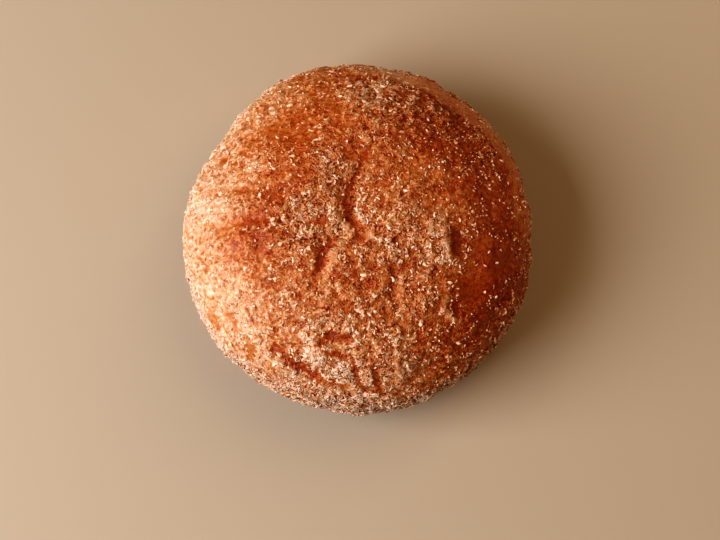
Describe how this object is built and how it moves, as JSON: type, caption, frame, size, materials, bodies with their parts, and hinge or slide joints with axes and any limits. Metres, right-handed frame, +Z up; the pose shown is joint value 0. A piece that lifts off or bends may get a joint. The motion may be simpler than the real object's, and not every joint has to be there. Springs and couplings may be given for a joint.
{
  "type": "curry bun",
  "caption": "Round deep-fried bun with a ragged breadcrumb crust, closed all round, resting on a small flat spot.",
  "frame": {"origin": "middle of the flat spot underneath, on which the bun rests", "axes": "+Z up through the dome, -Y towards the viewer, +X to the viewer's right"},
  "size_m": [0.1054, 0.1084, 0.0508],
  "materials": {
    "fried_crust": "rough golden to red-brown breadcrumb crust, slightly glossy with oil"
  },
  "bodies": {
    "root": {"curry_bun": "fried_crust"}
  },
  "joints": []
}
